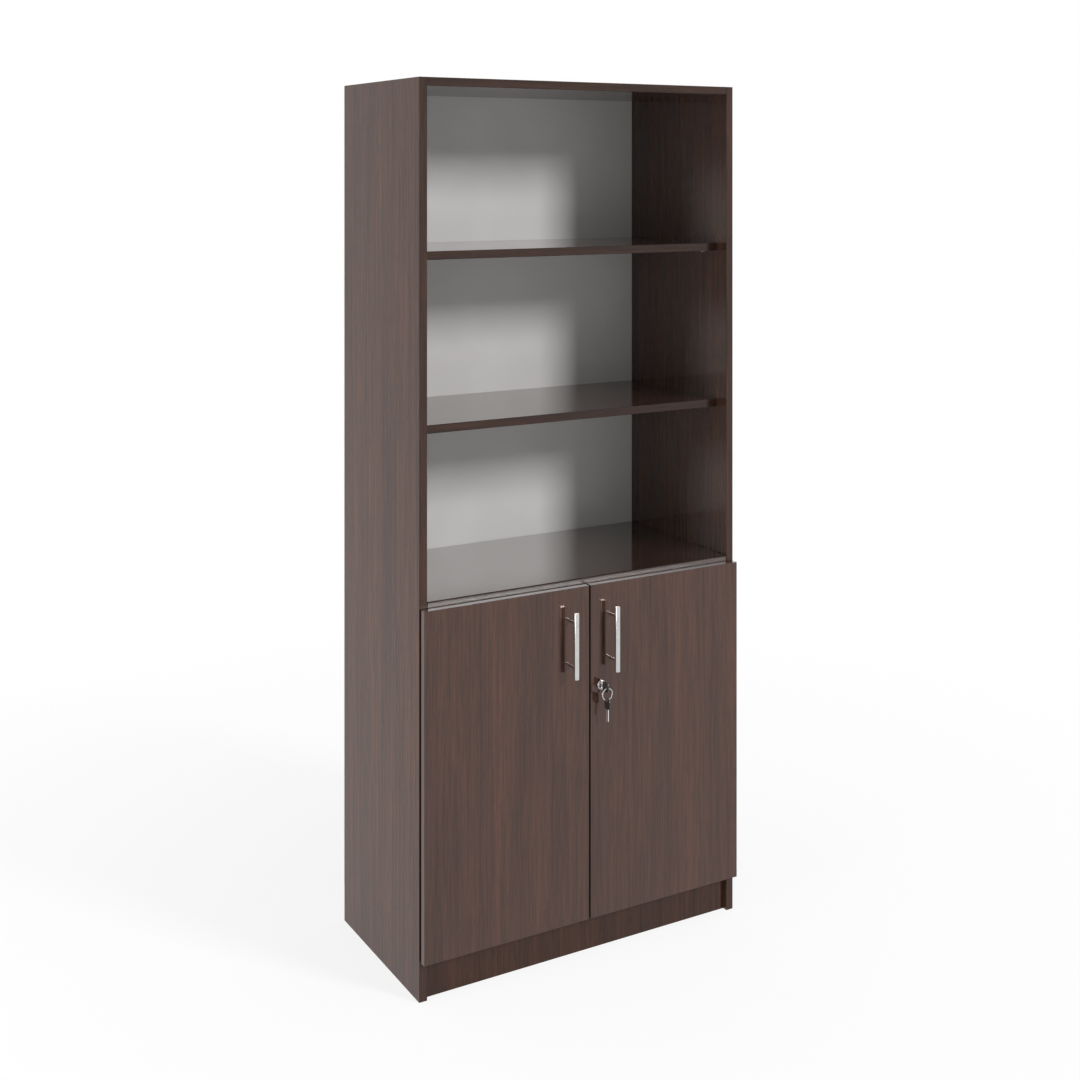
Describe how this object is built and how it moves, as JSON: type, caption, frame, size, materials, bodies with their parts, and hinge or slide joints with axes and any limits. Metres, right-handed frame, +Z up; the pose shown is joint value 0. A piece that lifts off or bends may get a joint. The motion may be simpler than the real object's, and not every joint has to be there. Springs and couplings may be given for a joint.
{
  "type": "bookcase with cabinet doors",
  "caption": "Tall dark wood bookcase with open shelves above and a lockable cabinet with hinged doors and bar handles below.",
  "frame": {"origin": "on the floor, under the centre of the whole object's width and depth, handles included", "axes": "+Z up, +X to the right as seen from the front, +Y from the doors towards the back panel"},
  "size_m": [0.8, 0.455, 1.9],
  "materials": {
    "dark_wood": "dark brown wood-grain laminate, semi-gloss",
    "pale_board": "light grey painted hardboard",
    "polished_steel": "polished nickel plating",
    "plated_steel": "nickel plating, satin",
    "black_plastic": "near-black plastic"
  },
  "bodies": {
    "carcass": {"side_left": "dark_wood", "side_right": "dark_wood", "top_panel": "dark_wood", "middle_panel": "dark_wood", "bottom_panel": "dark_wood", "plinth": "dark_wood", "back_panel": "pale_board", "shelf_upper": "dark_wood", "shelf_lower": "dark_wood", "shelf_cabinet": "dark_wood", "pin_shelf_upper_front_left": "plated_steel", "pin_shelf_upper_front_right": "plated_steel", "pin_shelf_upper_back_left": "plated_steel", "pin_shelf_upper_back_right": "plated_steel", "pin_shelf_lower_front_left": "plated_steel", "pin_shelf_lower_front_right": "plated_steel", "pin_shelf_lower_back_left": "plated_steel", "pin_shelf_lower_back_right": "plated_steel", "pin_shelf_cabinet_front_left": "plated_steel", "pin_shelf_cabinet_front_right": "plated_steel", "pin_shelf_cabinet_back_left": "plated_steel", "pin_shelf_cabinet_back_right": "plated_steel", "hinge_plate_left_lower": "plated_steel", "hinge_plate_left_upper": "plated_steel", "hinge_plate_right_lower": "plated_steel", "hinge_plate_right_upper": "plated_steel", "hinge_arm_left_lower": "plated_steel", "hinge_arm_left_upper": "plated_steel", "hinge_arm_right_lower": "plated_steel", "hinge_arm_right_upper": "plated_steel"},
    "left_door": {"door_left": "dark_wood", "hinge_cup_left_lower": "plated_steel", "hinge_cup_left_upper": "plated_steel", "handle_bar_left": "polished_steel", "handle_post_left_lower": "polished_steel", "handle_post_left_upper": "polished_steel", "handle_screw_left_lower": "plated_steel", "handle_screw_left_upper": "plated_steel", "bolt_housing": "plated_steel"},
    "left_bolt": {"bolt_rod": "plated_steel"},
    "right_door": {"door_right": "dark_wood", "hinge_cup_right_lower": "plated_steel", "hinge_cup_right_upper": "plated_steel", "handle_bar_right": "polished_steel", "handle_post_right_lower": "polished_steel", "handle_post_right_upper": "polished_steel", "handle_screw_right_lower": "plated_steel", "handle_screw_right_upper": "plated_steel", "lock_housing": "polished_steel", "lock_nut": "plated_steel"},
    "lock_core": {"lock_plug": "polished_steel", "lock_cam": "plated_steel", "lock_cam_screw": "plated_steel", "key_blade": "plated_steel", "key_bow": "black_plastic"},
    "ring": {"key_ring": "polished_steel"},
    "spare_key": {"spare_key_blade": "plated_steel", "spare_key_bow": "black_plastic"}
  },
  "joints": [
    {"name": "left_door_hinge", "type": "hinge", "parent": "carcass", "child": "left_door", "pos_m": [-0.3903, -0.1845, 0.444], "axis": [0, 0, -1], "range_deg": [0, 95]},
    {"name": "right_door_hinge", "type": "hinge", "parent": "carcass", "child": "right_door", "pos_m": [0.3903, -0.1845, 0.444], "axis": [0, 0, 1], "range_deg": [0, 95]},
    {"name": "bolt_slide", "type": "slide", "parent": "left_door", "child": "left_bolt", "axis": [0, 0, 1], "range_m": [0, 0.012]},
    {"name": "key_turn", "type": "hinge", "parent": "right_door", "child": "lock_core", "pos_m": [0.0295, -0.194, 0.586], "axis": [0, 1, 0], "range_deg": [0, 90]},
    {"name": "ring_hang", "type": "hinge", "parent": "lock_core", "child": "ring", "pos_m": [0.02719, -0.2159, 0.58525], "axis": [0, 1, 0], "range_deg": [-36, 0]},
    {"name": "spare_key_hang", "type": "hinge", "parent": "ring", "child": "spare_key", "pos_m": [0.0295, -0.2159, 0.572], "axis": [0, 1, 0], "range_deg": [-54, 0]}
  ],
  "couplings": [
    {"joint": "ring_hang", "follows": "key_turn", "ratio": -0.4},
    {"joint": "spare_key_hang", "follows": "key_turn", "ratio": -0.6}
  ]
}
